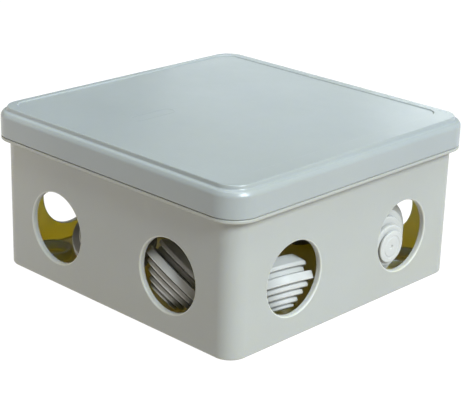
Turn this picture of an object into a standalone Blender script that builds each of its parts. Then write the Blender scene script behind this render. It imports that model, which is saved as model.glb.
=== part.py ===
"""Surface-mounted electrical junction box.

A square moulded base with two round cable openings in each wall, a push-on lid,
and the eight stepped cable seals that come with it, lying loose inside.

The origin is the middle of the base's underside, +Z points out of the lid, and
+X and -Y are two of the walls with openings. Dimensions are in millimetres, and
to_metres scales each mesh once it is built.
"""

import math

import bmesh
import bpy
from mathutils import Matrix, Vector

MILLIMETRE = 0.001
CLEARANCE = 0.3

# Base: outer half width, wall and floor, and the heights up its outside.
BASE_HALF = 47.4
WALL = 1.8
FLOOR = 1.8
FOOT_BEVEL = 0.6
LEDGE_BOTTOM = 39.3
LEDGE_TOP = 40.3
RIM_TOP = 46.9
BASE_CORNER = 5.5

# Lid: it covers the rim, and its skirt ends just above the ledge.
LID_HALF = 50.0
LID_CORNER = 8.1
SKIRT = 2.0
SHOULDER = 2.0
SHOULDER_TURN = 75.0
SHOULDER_STEPS = 4
SHOULDER_TOP = 48.4
PLATEAU_HALF = 47.9
PLATEAU_TOP = 49.2
PLATEAU_BEVEL = 0.3
PLATEAU_SLOPE = 0.4
PANEL_DEPTH = 0.3
PANEL_LOW = (-46.3, -44.9)
PANEL_HIGH = (42.0, 45.3)
PANEL_CORNER = 4.5
TONGUE_BOTTOM = 44.0
TONGUE_WIDTH = 1.2
TONGUE_CLEARANCE = 0.4

# Cable openings: two in each wall, either side of its middle.
OPENING_RADIUS = 10.7
OPENING_OFFSET = 23.2
OPENING_HEIGHT = 17.55
OPENING_BEVEL = 0.5
OPENING_FLARE = 1.0

# Hollow bosses round the fixing holes in the floor.
BOSS_OFFSET = 37.5
BOSS_RADIUS = 6.0
BOSS_WALL = 1.0
BOSS_HEIGHT = 3.0
FIXING_HOLE_RADIUS = 2.4
HOLE_OVERRUN = 1.0

# Cable seal: heights run from the flange's inner face towards the closed tip.
# Behind the flange come the groove that takes the box wall, the lip and the mouth.
FLANGE_RADIUS = 12.4
FLANGE_THICKNESS = 2.3
GROOVE_RADIUS = 10.4
GROOVE_WIDTH = 1.9
LIP_RADIUS = 11.5
LIP_THICKNESS = 1.1
MOUTH_RADIUS = 8.8
MOUTH_DEPTH = 2.7
STEP_RADII = (10.3, 8.4, 6.4)
STEP_HEIGHT = 1.6
TIP_RADIUS = 4.2
TIP_HEIGHT = 1.1
SEAL_WALL = 1.0

# Where each loose seal lies: its flange's middle in X and Y, the heading that its
# tip points to (degrees from +X), and how far the tip points above the floor.
LOOSE_SEALS = (
    (35.3, -20.2, -11.0, -58.0),
    (18.2, -36.3, -115.0, -43.0),
    (37.9, 20.8, -1.5, -2.0),
    (-16.5, -30.8, -46.0, 62.0),
    (-32.6, 3.0, 90.0, 90.0),
    (-20.0, 31.0, 0.0, 90.0),
    (8.0, 31.0, 60.0, -54.0),
    (1.0, 3.0, 200.0, 37.0),
)

CORNER_STEPS = 8
OPENING_SEGMENTS = 40
BOSS_SEGMENTS = 28
SEAL_SEGMENTS = 28
SHARP_ANGLE = math.radians(30)

BOX_GREY = (0.56, 0.58, 0.57, 1.0)
LID_GREY = (0.58, 0.61, 0.60, 1.0)
SEAL_GREY = (0.62, 0.64, 0.62, 1.0)


def clear_scene():
    for old in list(bpy.data.objects):
        bpy.data.objects.remove(old)


def plastic(name, colour, roughness):
    material = bpy.data.materials.new(name)
    material.use_nodes = True
    shader = material.node_tree.nodes["Principled BSDF"]
    shader.inputs["Base Color"].default_value = colour
    shader.inputs["Roughness"].default_value = roughness
    shader.inputs["Metallic"].default_value = 0.0
    return material


def to_metres(mesh):
    """Finishes a bmesh built in millimetres as mesh data in metres."""
    bmesh.ops.recalc_face_normals(mesh, faces=mesh.faces)
    bmesh.ops.scale(mesh, vec=Vector((MILLIMETRE,) * 3), verts=mesh.verts)
    data = bpy.data.meshes.new("shape")
    mesh.to_mesh(data)
    mesh.free()
    data.shade_smooth()
    data.set_sharp_from_angle(angle=SHARP_ANGLE)
    return data


def add_object(name, data, material=None):
    made = bpy.data.objects.new(name, data)
    bpy.context.scene.collection.objects.link(made)
    if material:
        data.materials.append(material)
    return made


def outline(low, high, radius, height):
    """Points of a rectangle with round corners, anticlockwise from its +X side."""
    centres = (
        (high[0] - radius, high[1] - radius),
        (low[0] + radius, high[1] - radius),
        (low[0] + radius, low[1] + radius),
        (high[0] - radius, low[1] + radius),
    )
    points = []
    for corner, (x, y) in enumerate(centres):
        for step in range(CORNER_STEPS + 1):
            angle = math.pi / 2 * (corner + step / CORNER_STEPS)
            points.append(
                (x + radius * math.cos(angle), y + radius * math.sin(angle), height)
            )
    return points


def square(half, radius, height):
    return outline((-half, -half), (half, half), radius, height)


def loft(outlines):
    """Joins outlines of equal length into a skin, and caps the first and last."""
    mesh = bmesh.new()
    rings = [[mesh.verts.new(point) for point in points] for points in outlines]
    for near, far in zip(rings, rings[1:]):
        for i in range(len(near)):
            j = (i + 1) % len(near)
            mesh.faces.new((near[i], near[j], far[j], far[i]))
    mesh.faces.new(rings[0][::-1])
    mesh.faces.new(rings[-1])
    return mesh


def circle(mesh, radius, height, segments, centre):
    """Adds a ring of vertices, or one vertex where the radius is nothing."""
    count = segments if radius else 1
    angles = [2 * math.pi * i / count for i in range(count)]
    return [
        mesh.verts.new(
            (
                centre[0] + radius * math.cos(angle),
                centre[1] + radius * math.sin(angle),
                height,
            )
        )
        for angle in angles
    ]


def lathe(profile, segments, mesh=None, centre=(0.0, 0.0)):
    """Turns (radius, height) points about an axis along Z.

    The profile ends on the axis at both ends, or else it comes back to its start.
    """
    mesh = mesh or bmesh.new()
    rings = [circle(mesh, *point, segments, centre) for point in profile]
    if profile[0][0]:
        rings.append(rings[0])
    for near, far in zip(rings, rings[1:]):
        for i in range(segments):
            corners = (
                near[i % len(near)],
                near[(i + 1) % len(near)],
                far[(i + 1) % len(far)],
                far[i % len(far)],
            )
            mesh.faces.new(tuple(dict.fromkeys(corners)))
    return mesh


def tool(name, data):
    """An object that only shapes another one."""
    made = add_object(name, data)
    made.hide_render = True
    made.display_type = "WIRE"
    return made


def boolean(target, other, operation):
    modifier = target.modifiers.new(other.name, "BOOLEAN")
    modifier.operation = operation
    modifier.solver = "EXACT"
    modifier.object = other


def boss_centres():
    return [
        (x * BOSS_OFFSET, y * BOSS_OFFSET) for x in (-1, 1) for y in (-1, 1)
    ]


def base_shell():
    """Outside from the foot up to the rim, then down the inside to the floor."""
    inner_half = BASE_HALF - WALL
    inner_corner = BASE_CORNER - WALL
    ledge_corner = BASE_CORNER + LID_HALF - BASE_HALF
    return loft(
        (
            square(BASE_HALF - FOOT_BEVEL, BASE_CORNER - FOOT_BEVEL, 0.0),
            square(BASE_HALF, BASE_CORNER, FOOT_BEVEL),
            square(BASE_HALF, BASE_CORNER, LEDGE_BOTTOM),
            square(LID_HALF, ledge_corner, LEDGE_BOTTOM),
            square(LID_HALF, ledge_corner, LEDGE_TOP),
            square(BASE_HALF, BASE_CORNER, LEDGE_TOP),
            square(BASE_HALF, BASE_CORNER, RIM_TOP),
            square(inner_half, inner_corner, RIM_TOP),
            square(inner_half, inner_corner, FLOOR),
        )
    )


def opening_cutter_mesh():
    """A bar through two facing walls, wider outside them to bevel the mouths."""
    straight = BASE_HALF - OPENING_BEVEL
    end = BASE_HALF + OPENING_FLARE
    wide = OPENING_RADIUS + OPENING_BEVEL + OPENING_FLARE
    return lathe(
        (
            (0.0, -end),
            (wide, -end),
            (OPENING_RADIUS, -straight),
            (OPENING_RADIUS, straight),
            (wide, end),
            (0.0, end),
        ),
        OPENING_SEGMENTS,
    )


def add_fixings(base):
    """Raises a hollow boss round each fixing hole, and cuts the holes."""
    bore = BOSS_RADIUS - BOSS_WALL
    root = FLOOR / 2
    boss_top = FLOOR + BOSS_HEIGHT
    hole_top = FLOOR + HOLE_OVERRUN
    bosses = bmesh.new()
    holes = bmesh.new()
    for centre in boss_centres():
        lathe(
            ((bore, root), (BOSS_RADIUS, root), (BOSS_RADIUS, boss_top), (bore, boss_top)),
            BOSS_SEGMENTS,
            bosses,
            centre,
        )
        lathe(
            (
                (0.0, -HOLE_OVERRUN),
                (FIXING_HOLE_RADIUS, -HOLE_OVERRUN),
                (FIXING_HOLE_RADIUS, hole_top),
                (0.0, hole_top),
            ),
            BOSS_SEGMENTS,
            holes,
            centre,
        )
    boolean(base, tool("fixing_bosses", to_metres(bosses)), "UNION")
    boolean(base, tool("fixing_holes", to_metres(holes)), "DIFFERENCE")


def cut_openings(base):
    """Drives two bars through the base each way, so each cuts a facing pair."""
    along_x = Matrix.Rotation(math.pi / 2, 4, "Y")
    along_y = Matrix.Rotation(-math.pi / 2, 4, "X")
    cutter_mesh = to_metres(opening_cutter_mesh())
    for side in (-1, 1):
        offset = side * OPENING_OFFSET
        for axis, turn, place in (
            ("x", along_x, (0.0, offset, OPENING_HEIGHT)),
            ("y", along_y, (offset, 0.0, OPENING_HEIGHT)),
        ):
            word = "low" if side < 0 else "high"
            cutter = tool(f"openings_along_{axis}_{word}", cutter_mesh)
            cutter.matrix_world = Matrix.Translation(Vector(place) * MILLIMETRE) @ turn
            boolean(base, cutter, "DIFFERENCE")


def add_base(material):
    base = add_object("box_base", to_metres(base_shell()), material)
    add_fixings(base)
    cut_openings(base)


def shoulder_outlines():
    """Rounds the skirt over into the lid's top."""
    middle = SHOULDER_TOP - SHOULDER
    outlines = []
    for step in range(SHOULDER_STEPS + 1):
        angle = math.radians(SHOULDER_TURN) * step / SHOULDER_STEPS
        inset = SHOULDER * (1 - math.cos(angle))
        outlines.append(
            square(LID_HALF - inset, LID_CORNER - inset, middle + SHOULDER * math.sin(angle))
        )
    return outlines


def lid_shell():
    """Underside of the top first, then out and up over the outside to the panel."""
    ceiling = RIM_TOP + CLEARANCE
    tongue_out = BASE_HALF - WALL - TONGUE_CLEARANCE
    tongue_in = tongue_out - TONGUE_WIDTH
    skirt_in = LID_HALF - SKIRT
    skirt_bottom = LEDGE_TOP + CLEARANCE
    tongue_corner = BASE_CORNER - WALL - TONGUE_CLEARANCE
    edge = LID_HALF - PLATEAU_HALF
    foot = edge - PLATEAU_SLOPE
    return loft(
        (
            square(tongue_in, tongue_corner - TONGUE_WIDTH, ceiling),
            square(tongue_in, tongue_corner - TONGUE_WIDTH, TONGUE_BOTTOM),
            square(tongue_out, tongue_corner, TONGUE_BOTTOM),
            square(tongue_out, tongue_corner, ceiling),
            square(skirt_in, LID_CORNER - SKIRT, ceiling),
            square(skirt_in, LID_CORNER - SKIRT, skirt_bottom),
            square(LID_HALF, LID_CORNER, skirt_bottom),
            *shoulder_outlines(),
            square(LID_HALF - foot, LID_CORNER - foot, PLATEAU_TOP - PLATEAU_BEVEL),
            square(PLATEAU_HALF, LID_CORNER - edge, PLATEAU_TOP),
            outline(PANEL_LOW, PANEL_HIGH, PANEL_CORNER, PLATEAU_TOP),
            outline(
                [side + PANEL_DEPTH for side in PANEL_LOW],
                [side - PANEL_DEPTH for side in PANEL_HIGH],
                PANEL_CORNER - PANEL_DEPTH,
                PLATEAU_TOP - PANEL_DEPTH,
            ),
        )
    )


def seal_outside():
    """Rings of the outer surface, mouth first, as (radius, height)."""
    lip_front = -GROOVE_WIDTH
    lip_back = lip_front - LIP_THICKNESS
    mouth = lip_back - MOUTH_DEPTH
    rings = [
        (MOUTH_RADIUS, mouth),
        (LIP_RADIUS, lip_back),
        (LIP_RADIUS, lip_front),
        (GROOVE_RADIUS, lip_front),
        (GROOVE_RADIUS, 0.0),
        (FLANGE_RADIUS, 0.0),
        (FLANGE_RADIUS, FLANGE_THICKNESS),
    ]
    height = FLANGE_THICKNESS
    for radius in STEP_RADII:
        rings.append((radius, height))
        height += STEP_HEIGHT
        rings.append((radius, height))
    rings.append((TIP_RADIUS, height))
    rings.append((TIP_RADIUS, height + TIP_HEIGHT))
    return rings


def seal_profile():
    """The hollow from its blind end to the mouth, then the outside to the tip."""
    outside = seal_outside()
    tip = outside[-1][1]
    mouth = outside[0][1]
    hollow = GROOVE_RADIUS - SEAL_WALL
    return (
        (0.0, tip - SEAL_WALL),
        (TIP_RADIUS - SEAL_WALL, tip - SEAL_WALL),
        (hollow, FLANGE_THICKNESS / 2),
        (hollow, -GROOVE_WIDTH),
        (MOUTH_RADIUS - SEAL_WALL, mouth),
        *outside,
        (0.0, tip),
    )


def resting_height(direction):
    """Height of the flange's inner face at which the lowest edge nears the floor."""
    tilt = math.sqrt(max(0.0, 1.0 - direction.z**2))
    lowest = min(
        height * direction.z - radius * tilt for radius, height in seal_outside()
    )
    return FLOOR + CLEARANCE - lowest


def add_seals(material):
    data = to_metres(lathe(seal_profile(), SEAL_SEGMENTS))
    data.materials.append(material)
    for number, (x, y, heading, pitch) in enumerate(LOOSE_SEALS, start=1):
        turn = Matrix.Rotation(math.radians(heading), 4, "Z") @ Matrix.Rotation(
            math.radians(90.0 - pitch), 4, "Y"
        )
        direction = turn.to_3x3() @ Vector((0.0, 0.0, 1.0))
        place = Vector((x, y, resting_height(direction))) * MILLIMETRE
        seal = add_object(f"cable_seal_{number}", data)
        seal.matrix_world = Matrix.Translation(place) @ turn


def main():
    clear_scene()
    add_base(plastic("base_plastic", BOX_GREY, 0.45))
    add_object("box_lid", to_metres(lid_shell()), plastic("lid_plastic", LID_GREY, 0.4))
    add_seals(plastic("seal_rubber", SEAL_GREY, 0.55))


main()
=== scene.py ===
import math

import bmesh
import bpy
from mathutils import Matrix, Vector


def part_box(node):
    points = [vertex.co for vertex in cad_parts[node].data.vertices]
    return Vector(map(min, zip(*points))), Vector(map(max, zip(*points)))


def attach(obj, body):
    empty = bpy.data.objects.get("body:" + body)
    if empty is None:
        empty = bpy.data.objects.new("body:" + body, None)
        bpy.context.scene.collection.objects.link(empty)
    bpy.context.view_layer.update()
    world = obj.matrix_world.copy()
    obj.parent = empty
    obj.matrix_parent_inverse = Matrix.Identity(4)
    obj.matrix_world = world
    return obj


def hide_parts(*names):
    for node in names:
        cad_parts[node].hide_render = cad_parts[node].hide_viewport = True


# Looks of the square surface-mounted junction box. The base, the lid and the loose
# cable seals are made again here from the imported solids' sizes, with rounded edges,
# finer rings and moulded-plastic materials. The meshes are drawn in millimetres, and
# to_metres scales each once it is built. Materials, lights and camera are in metres.

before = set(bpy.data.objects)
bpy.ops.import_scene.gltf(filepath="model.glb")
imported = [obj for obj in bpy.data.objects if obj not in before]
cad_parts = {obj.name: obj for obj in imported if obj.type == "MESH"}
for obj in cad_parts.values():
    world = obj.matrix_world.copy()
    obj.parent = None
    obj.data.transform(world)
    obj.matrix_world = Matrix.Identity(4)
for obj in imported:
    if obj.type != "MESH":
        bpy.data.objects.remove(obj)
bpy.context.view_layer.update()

MILLIMETRE = 0.001


def box_mm(node):
    """A node's lowest and highest corners in millimetres."""
    low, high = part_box(node)
    return low / MILLIMETRE, high / MILLIMETRE


_, base_high = box_mm("box_base")
lid_low, lid_high = box_mm("box_lid")

# Heights and half widths that the frame gives.
LEDGE_HALF = base_high.x
RIM_TOP = base_high.z
LID_HALF = lid_high.x
SKIRT_BOTTOM = lid_low.z
PLATEAU_TOP = lid_high.z

# Every outline of the base and the lid rounds its corners about the same four centres.
CORNER_CENTRE = 41.9
CORNER_STEPS = 14

# Base section.
LEDGE_OVERHANG = 2.6
LEDGE_THICKNESS = 1.0
LEDGE_GAP = 0.12
WALL = 1.8
FLOOR = 1.8
BASE_HALF = LEDGE_HALF - LEDGE_OVERHANG
INNER_HALF = BASE_HALF - WALL
LEDGE_TOP = SKIRT_BOTTOM - LEDGE_GAP
LEDGE_BOTTOM = LEDGE_TOP - LEDGE_THICKNESS

# A section ends in a flat ring this far in from its last corner, and a cap fills the rest.
FOOT_RING = 2.0
INSIDE_RING = 1.5
PLATEAU_RING = 0.8

# Cable openings: two in each wall. An edge's rounding turns this far before it runs out.
OPENING_RADIUS = 10.7
OPENING_OFFSET = 23.2
OPENING_HEIGHT = 17.55
OPENING_ROUND = 0.5
OPENING_ROUND_IN = 0.25
OPENING_TURN = math.radians(78)
OPENING_OVERRUN = 0.6
OPENING_SEGMENTS = 112

# Fixing bosses and holes.
BOSS_OFFSET = 37.5
BOSS_RADIUS = 6.0
BOSS_BORE = 5.0
BOSS_TOP = FLOOR + 3.0
FIXING_HOLE_RADIUS = 2.4
COUNTERSINK = 0.5
HOLE_OVERRUN = 1.0
BOSS_SEGMENTS = 64

# Small beads that snap the lid over the rim, two on each side of both.
BEAD_RADIUS = 0.6
BEAD_LENGTH = 12.0
BEAD_OFFSET = 22.0
BEAD_DEPTH = 0.35
BEAD_SEGMENTS = 20
RIM_BEAD_HEIGHT = RIM_TOP - 2.0
SKIRT_BEAD_HEIGHT = SKIRT_BOTTOM + 2.4

# Lid section: the skirt, the tongue inside the rim, and the shoulder that turns in from
# the skirt and slopes up to a low plateau.
SKIRT = 2.0
CEILING_GAP = 0.3
TONGUE_GAP = 0.4
TONGUE_WIDTH = 1.2
TONGUE_DEPTH = 5.2
PLATEAU_INSET = 2.05
PLATEAU_RISE = 1.15
SHOULDER_INSET = 1.75
SHOULDER_BEND = 0.7
SHOULDER_DROP = 1.3
SHOULDER_SLOPE = 0.25
SKIRT_HALF = LID_HALF - SKIRT
CEILING = RIM_TOP + CEILING_GAP
TONGUE_OUT = INNER_HALF - TONGUE_GAP
TONGUE_IN = TONGUE_OUT - TONGUE_WIDTH
TONGUE_BOTTOM = PLATEAU_TOP - TONGUE_DEPTH
PLATEAU_HALF = LID_HALF - PLATEAU_INSET
SHOULDER_HALF = LID_HALF - SHOULDER_INSET
SHOULDER_TOP = PLATEAU_TOP - PLATEAU_RISE

# Shallow panel in the lid's top, a little off centre, and its pill-shaped relief.
PANEL_LOW = (-46.3, -44.9)
PANEL_HIGH = (42.0, 45.3)
PANEL_CORNER = 4.5
PANEL_DEPTH = 0.3
PANEL_SLOPE = 0.5
RELIEF_CENTRE = (-12.0, -20.0)
RELIEF_LENGTH = 16.0
RELIEF_WIDTH = 5.0
RELIEF_RIM = 0.8
RELIEF_FLANK = 0.25
RELIEF_HEIGHT = 0.11
RELIEF_ROOT = 0.2
RELIEF_FLAT_END = 0.001

# Cable seal. Heights run from the flange's inner face to the tip, and each ring stands
# off the one before it by a narrow groove.
SEAL_WALL = 1.0
FLANGE_RADIUS = 12.4
FLANGE_TOP = 2.3
GROOVE_RADIUS = 10.4
GROOVE_BOTTOM = -1.9
LIP_RADIUS = 11.5
LIP_BOTTOM = -3.0
MOUTH_RADIUS = 8.8
MOUTH_HEIGHT = -5.7
STEP_RADII = (10.3, 8.4, 6.4)
STEP_HEIGHT = 1.6
STEP_ROUND = 0.5
GAP_HEIGHT = 0.32
GAP_DEPTH = 0.5
UNDERCUT = 0.5
TIP_RADIUS = 4.9
TIP_HEIGHT = 1.1
TIP_GROOVE_RADIUS = 3.6
TIP_GROOVE_WIDTH = 0.8
TIP_GROOVE_FLANK = 0.2
TIP_GROOVE_DEPTH = 0.12
DIMPLE_RADIUS = 0.7
DIMPLE_DEPTH = 0.5
SEAL_SEGMENTS = 96

# How each loose seal lies: the heading of its tip and how far it points up, in degrees.
SEAL_POSES = (
    (-11.0, -58.0),
    (-115.0, -43.0),
    (-1.5, -2.0),
    (-46.0, 62.0),
    (90.0, 90.0),
    (0.0, 90.0),
    (60.0, -54.0),
    (200.0, 37.0),
)

FILLET_STEPS = 5
SHARP_ANGLE = math.radians(40)

# The base's material slots after the outside's, and the distances that tell its faces apart.
# The inner walls and floor are painted with warm light, and the openings' bores with a highlight.
INNER_WALLS, INNER_FLOOR, BORES = 1, 2, 3
BORE_MARGIN = 0.02
BORE_FLARE = 0.6
INNER_MARGIN = 0.05
FLOOR_FILLET = 0.4
HOLE_MIDDLE = FLOOR * 0.55

# Materials: linear colours, and depths and bump heights in metres. Each noise in the
# materials below is given its scale, in features to the metre, and spread says which of
# its values begin and end the effect, and how strong the effect is there.
BOX_COLOUR = (0.318, 0.314, 0.278, 1.0)
LID_COLOUR = (0.281, 0.292, 0.276, 1.0)
# Inside walls: olive-yellow painted light, for warm light let through the walls and bounced inside.
INSIDE_PAINTED_LIGHT_COLOUR = (0.62, 0.60, 0.45, 1.0)
# Inside floor: olive painted light, for warm light bounced about inside the box.
INNER_FLOOR_PAINTED_LIGHT_COLOUR = (0.60, 0.56, 0.33, 1.0)
# Opening bores: lighter than the walls, a painted highlight for the lit crescents round the
# openings.
BORE_PAINTED_HIGHLIGHT_COLOUR = (0.45, 0.44, 0.39, 1.0)
SEAL_COLOUR = (0.445, 0.43, 0.39, 1.0)
YELLOWING = (1.0, 0.97, 0.90)
PLASTIC_IOR = 1.47
PLASTIC_SCATTER = (1.0, 0.84, 0.22)
SURFACE_DEPTH = 0.002
INSIDE_DEPTH = 0.0066
ROUGHNESS_SPREAD = 0.03
WAVE_STRENGTH = 0.13
WAVE_HEIGHT = 0.0010
GRAIN_HEIGHT = 0.00006
RUBBER_IOR = 1.45
RUBBER_SCATTER = (1.0, 0.9, 0.6)
RUBBER_GLOW = 0.3
RUBBER_DEPTH = 0.0015
RUBBER_GRAIN = 0.25
RUBBER_SHEEN = 0.08
RUBBER_SHEEN_ROUGHNESS = 0.4

# Camera: where it stands, the way it looks, its lens, and the nearest and farthest it sees.
CAMERA_PLACE = (0.2761, -0.2881, 0.1695)
CAMERA_AZIMUTH = math.radians(43.71)
CAMERA_ELEVATION = math.radians(20.71)
CAMERA_ROLL = math.radians(1.66)
CAMERA_LENS = 111.1
CAMERA_NEAR = 0.01
CAMERA_FAR = 20.0

# Studio: the points that the lights aim at, the lights' colours, and the pale floor.
MIDDLE = (0.0, 0.0, 0.0)
LID_MIDDLE = (0.0, 0.0, 0.05)
LEFT_CORNER = (-0.05, -0.05, 0.03)
COOL_WHITE = (0.868, 1.0, 1.125)
SKY_WHITE = (0.89, 1.0, 1.07)
PALE_BLUE = (0.92, 1.0, 1.02)
WARM_WHITE = (1.0, 0.96, 0.90)
WORLD_COLOUR = (0.04, 0.04, 0.04, 1.0)
PAPER_COLOUR = (0.05, 0.05, 0.05, 1.0)
PAPER_LIGHT = (1.0, 1.0, 1.0, 1.0)
PAPER_STRENGTH = 1.0
PAPER_ROUGHNESS = 0.9
PAPER_GLOSS = 0.1
PAPER_HALF = 6.0


# ---------------------------------------------------------------- mesh building


def rounded(section, closed=False):
    """Replaces each corner of a (u, v, rounding) section by an arc of that radius."""
    points = []
    count = len(section)
    for i, (u, v, radius) in enumerate(section):
        corner = Vector((u, v))
        ends = not closed and i in (0, count - 1)
        if ends or not radius:
            points.append((u, v))
            continue
        before = (Vector(section[i - 1][:2]) - corner).normalized()
        after = (Vector(section[(i + 1) % count][:2]) - corner).normalized()
        half_angle = before.angle(after) / 2
        centre = corner + (before + after).normalized() * (radius / math.sin(half_angle))
        start = corner + before * (radius / math.tan(half_angle)) - centre
        sweep = start.angle_signed(corner + after * (radius / math.tan(half_angle)) - centre)
        for step in range(FILLET_STEPS + 1):
            turn = Matrix.Rotation(-sweep * step / FILLET_STEPS, 2)
            points.append(tuple(centre + turn @ start))
    return points


def outline(low, high, radius, height):
    """Points of a rectangle with round corners, anticlockwise from its +X side."""
    centres = (
        (high[0] - radius, high[1] - radius),
        (low[0] + radius, high[1] - radius),
        (low[0] + radius, low[1] + radius),
        (high[0] - radius, low[1] + radius),
    )
    points = []
    for corner, (x, y) in enumerate(centres):
        for step in range(CORNER_STEPS + 1):
            angle = math.pi / 2 * (corner + step / CORNER_STEPS)
            points.append((x + radius * math.cos(angle), y + radius * math.sin(angle), height))
    return points


def square(half, height):
    """An outline of the base or the lid, centred on the origin."""
    return outline((-half, -half), (half, half), half - CORNER_CENTRE, height)


def join_rings(mesh, outlines, closed=False):
    """Adds outlines as rings of vertices, with a band of faces from each to the next.

    An outline of one point makes a pole. A closed skin comes back to its first ring.
    """
    rings = [[mesh.verts.new(point) for point in points] for points in outlines]
    for near, far in zip(rings, rings[1:] + rings[:closed]):
        for i in range(max(len(near), len(far))):
            corners = (
                near[i % len(near)],
                near[(i + 1) % len(near)],
                far[(i + 1) % len(far)],
                far[i % len(far)],
            )
            mesh.faces.new(tuple(dict.fromkeys(corners)))
    return rings


def loft(outlines):
    """Joins outlines of equal length into a skin, and caps the first and last."""
    mesh = bmesh.new()
    rings = join_rings(mesh, outlines)
    mesh.faces.new(rings[0][::-1])
    mesh.faces.new(rings[-1])
    return mesh


def lathe(profile, segments, closed=False):
    """Turns (radius, height) points about Z. A closed profile makes a ring."""
    angles = [2 * math.pi * i / segments for i in range(segments)]
    outlines = [
        [(radius * math.cos(a), radius * math.sin(a), height) for a in angles if radius or not a]
        for radius, height in profile
    ]
    mesh = bmesh.new()
    join_rings(mesh, outlines, closed)
    return mesh


def to_metres(mesh, name):
    """Turns a bmesh drawn in millimetres into mesh data in metres, and frees it."""
    bmesh.ops.recalc_face_normals(mesh, faces=mesh.faces)
    bmesh.ops.scale(mesh, vec=Vector((MILLIMETRE,) * 3), verts=mesh.verts)
    data = bpy.data.meshes.new(name)
    mesh.to_mesh(data)
    mesh.free()
    return data


def copies(mesh, matrices):
    """One mesh holding a copy of the given one at each matrix."""
    pattern = bpy.data.meshes.new("pattern")
    mesh.to_mesh(pattern)
    mesh.free()
    whole = bmesh.new()
    for matrix in matrices:
        start = len(whole.verts)
        whole.from_mesh(pattern)
        whole.verts.ensure_lookup_table()
        bmesh.ops.transform(whole, matrix=matrix, verts=whole.verts[start:])
    bpy.data.meshes.remove(pattern)
    return whole


def add_object(name, data):
    made = bpy.data.objects.new(name, data)
    bpy.context.scene.collection.objects.link(made)
    return made


def combine(target, mesh, operation):
    """Adds a bmesh to an object, or cuts it away, for good."""
    other = add_object("other", to_metres(mesh, "other"))
    modifier = target.modifiers.new("combine", "BOOLEAN")
    modifier.operation = operation
    modifier.solver = "EXACT"
    modifier.object = other
    bpy.context.view_layer.update()
    result = bpy.data.meshes.new_from_object(
        target.evaluated_get(bpy.context.evaluated_depsgraph_get())
    )
    target.modifiers.clear()
    result.name = target.name
    target.data = result
    bpy.data.objects.remove(other)


def smooth(target):
    """Smooth shading that keeps flat faces flat beside their rounded edges."""
    target.data.shade_smooth()
    target.data.set_sharp_from_angle(angle=SHARP_ANGLE)
    modifier = target.modifiers.new("flat_faces", "WEIGHTED_NORMAL")
    modifier.keep_sharp = True


def wall_places(x, offset, height, lie):
    """Two places on each of the four walls, at equal offsets either side of its middle."""
    return [
        Matrix.Rotation(math.pi / 2 * turn, 4, "Z")
        @ Matrix.Translation((x, side * offset, height))
        @ lie
        for turn in range(4)
        for side in (-1, 1)
    ]


# ---------------------------------------------------------------- the base


def base_shell():
    """Outside from the foot up to the rim, then down the inside to the floor."""
    section = (
        (BASE_HALF - FOOT_RING, 0.0, 0.0),
        (BASE_HALF, 0.0, 0.7),
        (BASE_HALF, LEDGE_BOTTOM, 0.25),
        (LEDGE_HALF, LEDGE_BOTTOM, 0.3),
        (LEDGE_HALF, LEDGE_TOP, 0.35),
        (BASE_HALF, LEDGE_TOP, 0.25),
        (BASE_HALF, RIM_TOP, 0.4),
        (INNER_HALF, RIM_TOP, 0.4),
        (INNER_HALF, FLOOR, 0.6),
        (INNER_HALF - INSIDE_RING, FLOOR, 0.0),
    )
    return loft([square(half, height) for half, height in rounded(section)])


def boss_places():
    """The four fixing holes' places in the floor."""
    return [
        Matrix.Translation((x * BOSS_OFFSET, y * BOSS_OFFSET, 0.0))
        for x in (-1, 1)
        for y in (-1, 1)
    ]


def bosses():
    """A low ring round each fixing hole, rooted in the floor."""
    section = (
        (BOSS_BORE, FLOOR / 2, 0.0),
        (BOSS_RADIUS, FLOOR / 2, 0.0),
        (BOSS_RADIUS, BOSS_TOP, 0.25),
        (BOSS_BORE, BOSS_TOP, 0.25),
    )
    ring = lathe(rounded(section, closed=True), BOSS_SEGMENTS, closed=True)
    return copies(ring, boss_places())


def fixing_holes():
    """One cutter for each fixing hole, which also sinks its upper edge."""
    profile = (
        (0.0, -HOLE_OVERRUN),
        (FIXING_HOLE_RADIUS, -HOLE_OVERRUN),
        (FIXING_HOLE_RADIUS, FLOOR - COUNTERSINK),
        (FIXING_HOLE_RADIUS + COUNTERSINK + HOLE_OVERRUN, FLOOR + HOLE_OVERRUN),
        (0.0, FLOOR + HOLE_OVERRUN),
    )
    return copies(lathe(profile, BOSS_SEGMENTS), boss_places())


def flare(radius, face, direction):
    """The end of an opening cutter, which rounds the opening's edge at one face."""
    points = []
    steps = FILLET_STEPS + 1
    for step in range(steps + 1):
        angle = OPENING_TURN * step / steps
        points.append(
            (
                OPENING_RADIUS + radius * (1 - math.cos(angle)),
                face - direction * radius * (1 - math.sin(angle)),
            )
        )
    end = face + direction * OPENING_OVERRUN
    beyond = (end - points[-1][1]) * direction
    return points + [(points[-1][0] + beyond * math.tan(OPENING_TURN), end), (0.0, end)]


def opening_cutters():
    """One cutter for each of the two openings in each wall."""
    inner = flare(OPENING_ROUND_IN, INNER_HALF, -1)
    outer = flare(OPENING_ROUND, BASE_HALF, 1)
    along_x = Matrix.Rotation(math.pi / 2, 4, "Y")
    places = wall_places(0.0, OPENING_OFFSET, OPENING_HEIGHT, along_x)
    return copies(lathe(inner[::-1] + outer, OPENING_SEGMENTS), places)


def snap_beads(face, height, direction):
    """Half-sunk round-ended bars along a wall's face, two on each side."""
    straight = BEAD_LENGTH / 2 - BEAD_RADIUS
    angles = [math.pi / 2 * step / FILLET_STEPS for step in range(FILLET_STEPS)]
    end = [(BEAD_RADIUS * math.cos(a), straight + BEAD_RADIUS * math.sin(a)) for a in angles]
    end.append((0.0, straight + BEAD_RADIUS))
    other_end = [(radius, -along) for radius, along in end[::-1]]
    along_y = Matrix.Rotation(math.pi / 2, 4, "X")
    places = wall_places(face - direction * BEAD_DEPTH, BEAD_OFFSET, height, along_y)
    return copies(lathe(other_end + end, BEAD_SEGMENTS), places)


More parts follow.
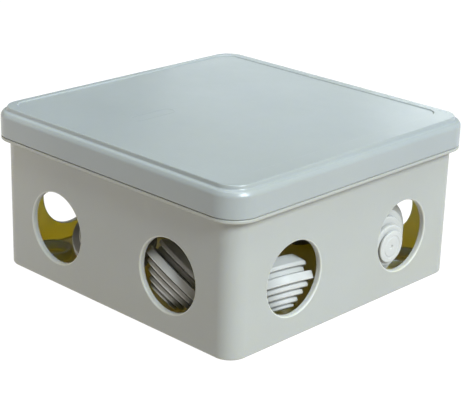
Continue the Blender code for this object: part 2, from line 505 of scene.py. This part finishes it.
def paint_inside(base):
    """Gives the inner walls, the floor and the openings' bores their own slots: painted warm light
    inside, a painted highlight on the bores.
    """
    for face in base.data.polygons:
        x, y, z = face.center / MILLIMETRE
        far, near = max(abs(x), abs(y)), min(abs(x), abs(y))
        in_wall = INNER_HALF + BORE_MARGIN < far < BASE_HALF - BORE_MARGIN
        at_opening = abs(z - OPENING_HEIGHT) < OPENING_RADIUS + BORE_FLARE
        if in_wall and at_opening and near < CORNER_CENTRE:
            face.material_index = BORES
        elif far < INNER_HALF + INNER_MARGIN and z > HOLE_MIDDLE:
            face.material_index = INNER_WALLS if z > FLOOR + FLOOR_FILLET else INNER_FLOOR


def add_base(materials):
    """The base, with one material for each of its slots."""
    base = add_object("base_moulding", to_metres(base_shell(), "base_moulding"))
    combine(base, bosses(), "UNION")
    combine(base, snap_beads(BASE_HALF, RIM_BEAD_HEIGHT, 1), "UNION")
    combine(base, fixing_holes(), "DIFFERENCE")
    combine(base, opening_cutters(), "DIFFERENCE")
    base.data.materials.clear()
    for material in materials:
        base.data.materials.append(material)
    paint_inside(base)
    smooth(base)
    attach(base, "base")
    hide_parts("box_base")


# ---------------------------------------------------------------- the lid


def panel_outlines():
    """Soft step from the lid's top down into the shallow panel."""
    outlines = []
    for step in range(FILLET_STEPS + 1):
        share = step / FILLET_STEPS
        inset = PANEL_SLOPE * share
        depth = PANEL_DEPTH * (1 - math.cos(math.pi * share)) / 2
        outlines.append(
            outline(
                [side + inset for side in PANEL_LOW],
                [side - inset for side in PANEL_HIGH],
                PANEL_CORNER - inset,
                PLATEAU_TOP - depth,
            )
        )
    return outlines


def lid_shell():
    """Underside of the top first, then out and up over the outside to the panel."""
    section = (
        (TONGUE_IN - INSIDE_RING, CEILING, 0.0),
        (TONGUE_IN, CEILING, 0.5),
        (TONGUE_IN, TONGUE_BOTTOM, 0.35),
        (TONGUE_OUT, TONGUE_BOTTOM, 0.35),
        (TONGUE_OUT, CEILING, 0.3),
        (SKIRT_HALF, CEILING, 0.3),
        (SKIRT_HALF, SKIRT_BOTTOM, 0.3),
        (LID_HALF, SKIRT_BOTTOM, 0.3),
        (LID_HALF, SHOULDER_TOP - SHOULDER_DROP, 1.5),
        (LID_HALF - SHOULDER_BEND, SHOULDER_TOP - SHOULDER_SLOPE, 0.9),
        (SHOULDER_HALF, SHOULDER_TOP, 0.5),
        (PLATEAU_HALF, PLATEAU_TOP, 0.35),
        (PLATEAU_HALF - PLATEAU_RING, PLATEAU_TOP, 0.0),
    )
    outlines = [square(half, height) for half, height in rounded(section)]
    return loft(outlines + panel_outlines())


def relief():
    """A plain pill-shaped raised rim, standing just out of the panel."""
    floor = PLATEAU_TOP - PANEL_DEPTH
    rim = (
        (0.0, floor - RELIEF_ROOT),
        (0.0, floor),
        (RELIEF_FLANK, floor + RELIEF_HEIGHT),
        (RELIEF_RIM - RELIEF_FLANK, floor + RELIEF_HEIGHT),
        (RELIEF_RIM, floor),
        (RELIEF_RIM, floor - RELIEF_ROOT),
    )
    x, y = RELIEF_CENTRE
    outlines = []
    for inset, height in rim:
        half_width = RELIEF_WIDTH / 2 - inset
        half_length = RELIEF_LENGTH / 2 - inset
        low = (x - half_width, y - half_length)
        high = (x + half_width, y + half_length)
        outlines.append(outline(low, high, half_width - RELIEF_FLAT_END, height))
    mesh = bmesh.new()
    join_rings(mesh, outlines, closed=True)
    return mesh


def add_lid(material):
    lid = add_object("lid_moulding", to_metres(lid_shell(), "lid_moulding"))
    combine(lid, snap_beads(SKIRT_HALF, SKIRT_BEAD_HEIGHT, -1), "UNION")
    combine(lid, relief(), "UNION")
    lid.data.materials.clear()
    lid.data.materials.append(material)
    smooth(lid)
    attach(lid, "lid")
    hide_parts("box_lid")


# ---------------------------------------------------------------- the cable seals


def seal_mouth():
    """Section of the hollow from its blind end, out of the mouth and up to the flange."""
    tip = FLANGE_TOP + len(STEP_RADII) * STEP_HEIGHT + TIP_HEIGHT
    hollow = GROOVE_RADIUS - SEAL_WALL
    return [
        (0.0, tip - SEAL_WALL - DIMPLE_DEPTH, 0.0),
        (TIP_RADIUS - SEAL_WALL, tip - SEAL_WALL - DIMPLE_DEPTH, 0.5),
        (hollow, FLANGE_TOP / 2, 0.8),
        (hollow, GROOVE_BOTTOM, 0.8),
        (MOUTH_RADIUS - SEAL_WALL, MOUTH_HEIGHT, 0.25),
        (MOUTH_RADIUS, MOUTH_HEIGHT, 0.25),
        (LIP_RADIUS, LIP_BOTTOM, 0.45),
        (LIP_RADIUS, GROOVE_BOTTOM, 0.35),
        (GROOVE_RADIUS - UNDERCUT, GROOVE_BOTTOM, 0.08),
        (GROOVE_RADIUS - UNDERCUT, GROOVE_BOTTOM + GAP_HEIGHT, 0.08),
        (GROOVE_RADIUS, GROOVE_BOTTOM + GAP_HEIGHT, 0.15),
        (GROOVE_RADIUS, -GAP_HEIGHT, 0.15),
        (GROOVE_RADIUS - UNDERCUT, -GAP_HEIGHT, 0.08),
        (GROOVE_RADIUS - UNDERCUT, 0.0, 0.08),
        (FLANGE_RADIUS, 0.0, 0.2),
        (FLANGE_RADIUS, FLANGE_TOP, 0.2),
    ]


def seal_steps():
    """Section from the flange up the rings to the middle of the tip."""
    section = []
    height = FLANGE_TOP
    heights = [STEP_HEIGHT] * len(STEP_RADII) + [TIP_HEIGHT]
    for radius, rise in zip(STEP_RADII + (TIP_RADIUS,), heights):
        section.append((radius - GAP_DEPTH, height, 0.1))
        section.append((radius - GAP_DEPTH, height + GAP_HEIGHT, 0.1))
        section.append((radius, height + GAP_HEIGHT, 0.2))
        height += rise
        section.append((radius, height, min(STEP_ROUND, (rise - GAP_HEIGHT) / 2)))
    groove_inner = TIP_GROOVE_RADIUS - TIP_GROOVE_WIDTH
    return section + [
        (TIP_GROOVE_RADIUS, height, 0.1),
        (TIP_GROOVE_RADIUS - TIP_GROOVE_FLANK, height - TIP_GROOVE_DEPTH, 0.1),
        (groove_inner + TIP_GROOVE_FLANK, height - TIP_GROOVE_DEPTH, 0.1),
        (groove_inner, height, 0.1),
        (DIMPLE_RADIUS, height, 0.15),
        (DIMPLE_RADIUS / 2, height - DIMPLE_DEPTH, 0.1),
        (0.0, height - DIMPLE_DEPTH, 0.0),
    ]


def add_seals(material):
    section = rounded(seal_mouth() + seal_steps())
    pattern = to_metres(lathe(section, SEAL_SEGMENTS), "seal")
    pattern.materials.append(material)
    points = [vertex.co.copy() for vertex in pattern.vertices]
    for number, (heading, pitch) in enumerate(SEAL_POSES, start=1):
        node = f"cable_seal_{number}"
        turn = Matrix.Rotation(math.radians(heading), 4, "Z") @ Matrix.Rotation(
            math.radians(90.0 - pitch), 4, "Y"
        )
        turned = [turn @ point for point in points]
        middle = Vector(
            [(min(p[axis] for p in turned) + max(p[axis] for p in turned)) / 2 for axis in range(3)]
        )
        low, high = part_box(node)
        data = pattern.copy()
        data.transform(Matrix.Translation((low + high) / 2 - middle) @ turn)
        seal = add_object(f"loose_seal_{number}", data)
        smooth(seal)
        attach(seal, "base")
        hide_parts(node)


# ---------------------------------------------------------------- materials


class Nodes:
    """A material's node tree, with a short way to add and join nodes."""

    def __init__(self, name):
        self.material = bpy.data.materials.new(name)
        self.material.use_nodes = True
        self.tree = self.material.node_tree
        self.shader = self.tree.nodes["Principled BSDF"]
        coordinates = self.tree.nodes.new("ShaderNodeTexCoord")
        self.place = coordinates.outputs["Object"]

    def join(self, source, target):
        self.tree.links.new(source, target)

    def noise(self, scale, detail=2.0, roughness=0.5, stretch=None):
        """Noise with features about one over scale metres across, about 0 to 1."""
        node = self.tree.nodes.new("ShaderNodeTexNoise")
        node.inputs["Scale"].default_value = scale
        node.inputs["Detail"].default_value = detail
        node.inputs["Roughness"].default_value = roughness
        place = self.place
        if stretch:
            mapping = self.tree.nodes.new("ShaderNodeMapping")
            mapping.inputs["Scale"].default_value = stretch[0]
            mapping.inputs["Rotation"].default_value = stretch[1]
            self.join(place, mapping.inputs["Vector"])
            place = mapping.outputs["Vector"]
        self.join(place, node.inputs["Vector"])
        return node.outputs["Fac"]

    def spread(self, value, from_low, from_high, to_low, to_high):
        """Maps values between the first two numbers to the last two, and holds the rest."""
        node = self.tree.nodes.new("ShaderNodeMapRange")
        for socket, number in zip(node.inputs[1:5], (from_low, from_high, to_low, to_high)):
            socket.default_value = number
        self.join(value, node.inputs["Value"])
        return node.outputs["Result"]

    def blend(self, share, first, second):
        """Mixes two colours, each a socket or a plain colour."""
        node = self.tree.nodes.new("ShaderNodeMix")
        node.data_type = "RGBA"
        colours = [socket for socket in node.inputs if socket.type == "RGBA"]
        for socket, colour in zip(colours, (first, second)):
            if isinstance(colour, tuple):
                socket.default_value = colour
            else:
                self.join(colour, socket)
        self.join(share, node.inputs["Factor"])
        return [socket for socket in node.outputs if socket.type == "RGBA"][0]

    def bump(self, height, strength, distance, under=None):
        node = self.tree.nodes.new("ShaderNodeBump")
        node.inputs["Strength"].default_value = strength
        node.inputs["Distance"].default_value = distance
        self.join(height, node.inputs["Height"])
        if under:
            self.join(under, node.inputs["Normal"])
        return node.outputs["Normal"]


def shade(colour, factor):
    """The same colour, lighter or darker."""
    return tuple(part * factor for part in colour[:3]) + (1.0,)


def moulded(name, colour, roughness, grain, glow, depth=SURFACE_DEPTH):
    """Satin moulded plastic: flow clouds, fine speckle, spark-eroded grain, faint scuffs."""
    nodes = Nodes(name)
    shader = nodes.shader.inputs
    clouds = nodes.noise(22.0, detail=4.0)
    tone = nodes.blend(
        nodes.spread(clouds, 0.3, 0.7, 0.0, 1.0), shade(colour, 0.965), shade(colour, 1.035)
    )
    flow = nodes.noise(16.0, detail=3.0, stretch=((1.0, 1.0, 3.5), (0.0, 0.0, 0.6)))
    yellowed = tuple(part * tint for part, tint in zip(colour, YELLOWING)) + (1.0,)
    tone = nodes.blend(nodes.spread(flow, 0.45, 0.75, 0.0, 0.6), tone, yellowed)
    specks = nodes.noise(1400.0)
    tone = nodes.blend(nodes.spread(specks, 0.66, 0.8, 0.0, 0.18), tone, shade(colour, 0.72))
    scuffs = nodes.noise(140.0, detail=5.0, stretch=((1.0, 14.0, 1.0), (0.0, 0.0, 0.5)))
    tone = nodes.blend(nodes.spread(scuffs, 0.64, 0.74, 0.0, 0.22), tone, shade(colour, 1.12))
    nodes.join(tone, shader["Base Color"])

    gloss = nodes.noise(90.0, detail=4.0, roughness=0.6)
    smoothest, roughest = roughness - ROUGHNESS_SPREAD, roughness + ROUGHNESS_SPREAD
    nodes.join(nodes.spread(gloss, 0.3, 0.7, smoothest, roughest), shader["Roughness"])

    wave = nodes.noise(9.0, stretch=((1.0, 5.0, 1.0), (0.0, 0.0, 0.12)))
    waved = nodes.bump(wave, WAVE_STRENGTH, WAVE_HEIGHT)
    nodes.join(nodes.bump(nodes.noise(2600.0), grain, GRAIN_HEIGHT, waved), shader["Normal"])
    shader["IOR"].default_value = PLASTIC_IOR
    shader["Subsurface Weight"].default_value = glow
    shader["Subsurface Scale"].default_value = depth
    shader["Subsurface Radius"].default_value = PLASTIC_SCATTER
    return nodes.material


def soft_rubber(name, colour):
    """Matt elastomer: powdery bloom, darker specks and a fine moulded skin."""
    nodes = Nodes(name)
    shader = nodes.shader.inputs
    bloom = nodes.noise(60.0, detail=5.0, roughness=0.6)
    tone = nodes.blend(
        nodes.spread(bloom, 0.35, 0.7, 0.0, 1.0), shade(colour, 0.94), shade(colour, 1.05)
    )
    specks = nodes.noise(900.0, detail=3.0)
    tone = nodes.blend(nodes.spread(specks, 0.62, 0.78, 0.0, 0.25), tone, shade(colour, 0.75))
    nodes.join(tone, shader["Base Color"])
    gloss = nodes.noise(300.0, detail=3.0)
    nodes.join(nodes.spread(gloss, 0.3, 0.7, 0.55, 0.68), shader["Roughness"])
    skin = nodes.bump(nodes.noise(2000.0, detail=3.0), RUBBER_GRAIN, GRAIN_HEIGHT)
    nodes.join(skin, shader["Normal"])
    shader["IOR"].default_value = RUBBER_IOR
    shader["Sheen Weight"].default_value = RUBBER_SHEEN
    shader["Sheen Roughness"].default_value = RUBBER_SHEEN_ROUGHNESS
    shader["Subsurface Weight"].default_value = RUBBER_GLOW
    shader["Subsurface Scale"].default_value = RUBBER_DEPTH
    shader["Subsurface Radius"].default_value = RUBBER_SCATTER
    return nodes.material


# ---------------------------------------------------------------- studio


def add_camera():
    data = bpy.data.cameras.new("camera")
    data.lens = CAMERA_LENS
    data.clip_start = CAMERA_NEAR
    data.clip_end = CAMERA_FAR
    camera = add_object("camera", data)
    back = Vector(
        (
            math.sin(CAMERA_AZIMUTH) * math.cos(CAMERA_ELEVATION),
            -math.cos(CAMERA_AZIMUTH) * math.cos(CAMERA_ELEVATION),
            math.sin(CAMERA_ELEVATION),
        )
    )
    level = (-back).to_track_quat("-Z", "Y").to_matrix().to_4x4()
    camera.matrix_world = (
        Matrix.Translation(CAMERA_PLACE) @ level @ Matrix.Rotation(CAMERA_ROLL, 4, "Z")
    )
    bpy.context.scene.camera = camera


def add_sun(name, direction, strength, degrees, colour):
    data = bpy.data.lights.new(name, "SUN")
    data.energy = strength
    data.angle = math.radians(degrees)
    data.color = colour
    sun = add_object(name, data)
    sun.rotation_euler = Vector(direction).to_track_quat("Z", "Y").to_euler()


def add_softbox(name, place, aim, size, power, colour, diffuse=True, glossy=True):
    """An area light out of the camera's sight. It lights matt surfaces, shows in gloss, or both."""
    data = bpy.data.lights.new(name, "AREA")
    data.shape = "RECTANGLE"
    data.size, data.size_y = size
    data.energy = power
    data.color = colour
    box = add_object(name, data)
    box.location = place
    box.rotation_euler = (Vector(place) - Vector(aim)).to_track_quat("Z", "Y").to_euler()
    box.visible_camera = False
    box.visible_diffuse = diffuse
    box.visible_glossy = glossy


def add_floor():
    """A wide white sheet that gives its own light, so the box stands on it without a shadow."""
    mesh = bmesh.new()
    bmesh.ops.create_grid(mesh, x_segments=1, y_segments=1, size=PAPER_HALF)
    data = bpy.data.meshes.new("floor")
    mesh.to_mesh(data)
    mesh.free()
    floor = add_object("floor", data)
    paper = bpy.data.materials.new("floor_paper")
    paper.use_nodes = True
    shader = paper.node_tree.nodes["Principled BSDF"].inputs
    shader["Base Color"].default_value = PAPER_COLOUR
    shader["Emission Color"].default_value = PAPER_LIGHT
    shader["Emission Strength"].default_value = PAPER_STRENGTH
    shader["Roughness"].default_value = PAPER_ROUGHNESS
    shader["Specular IOR Level"].default_value = PAPER_GLOSS
    data.materials.append(paper)


def add_studio():
    world = bpy.data.worlds.new("studio")
    world.use_nodes = True
    world.node_tree.nodes["Background"].inputs["Color"].default_value = WORLD_COLOUR
    bpy.context.scene.world = world
    add_sun("key", direction=(0.77, -0.06, 0.62), strength=4.7, degrees=24.0, colour=COOL_WHITE)
    add_softbox(
        "overhead_softbox",
        place=(0.10, 0.10, 1.30),
        aim=MIDDLE,
        size=(1.0, 1.0),
        power=17.0,
        colour=SKY_WHITE,
    )
    add_softbox(
        "back_sheen",
        place=(-0.33, 0.374, 0.14),
        aim=LID_MIDDLE,
        size=(0.14, 0.05),
        power=0.075,
        colour=PALE_BLUE,
        diffuse=False,
    )
    add_softbox(
        "right_sheen",
        place=(-0.24, 0.46, 0.18),
        aim=LID_MIDDLE,
        size=(0.09, 0.07),
        power=0.115,
        colour=PALE_BLUE,
        diffuse=False,
    )
    add_softbox(
        "left_fill",
        place=(-0.16, -0.12, 0.08),
        aim=LEFT_CORNER,
        size=(0.08, 0.08),
        power=0.12,
        colour=WARM_WHITE,
        glossy=False,
    )
    add_floor()
    bpy.context.scene.view_settings.view_transform = "Standard"


BASE_MATERIALS = (
    moulded("base_plastic", BOX_COLOUR, roughness=0.42, grain=0.25, glow=0.25),
    # Inside walls: grey plastic painted with warm olive-yellow light.
    moulded("base_inside_painted_light", INSIDE_PAINTED_LIGHT_COLOUR, roughness=0.50, grain=0.25, glow=1.0, depth=INSIDE_DEPTH),
    # Inside floor: grey plastic painted with warm olive light.
    moulded("base_floor_painted_light", INNER_FLOOR_PAINTED_LIGHT_COLOUR, roughness=0.50, grain=0.25, glow=0.2, depth=INSIDE_DEPTH),
    # Opening bores: the walls' plastic painted lighter, a painted highlight.
    moulded("base_bore_painted_highlight", BORE_PAINTED_HIGHLIGHT_COLOUR, roughness=0.45, grain=0.25, glow=0.3),
)

add_camera()
add_base(BASE_MATERIALS)
add_lid(moulded("lid_plastic", LID_COLOUR, roughness=0.325, grain=0.2, glow=0.15))
add_seals(soft_rubber("seal_rubber", SEAL_COLOUR))
add_studio()
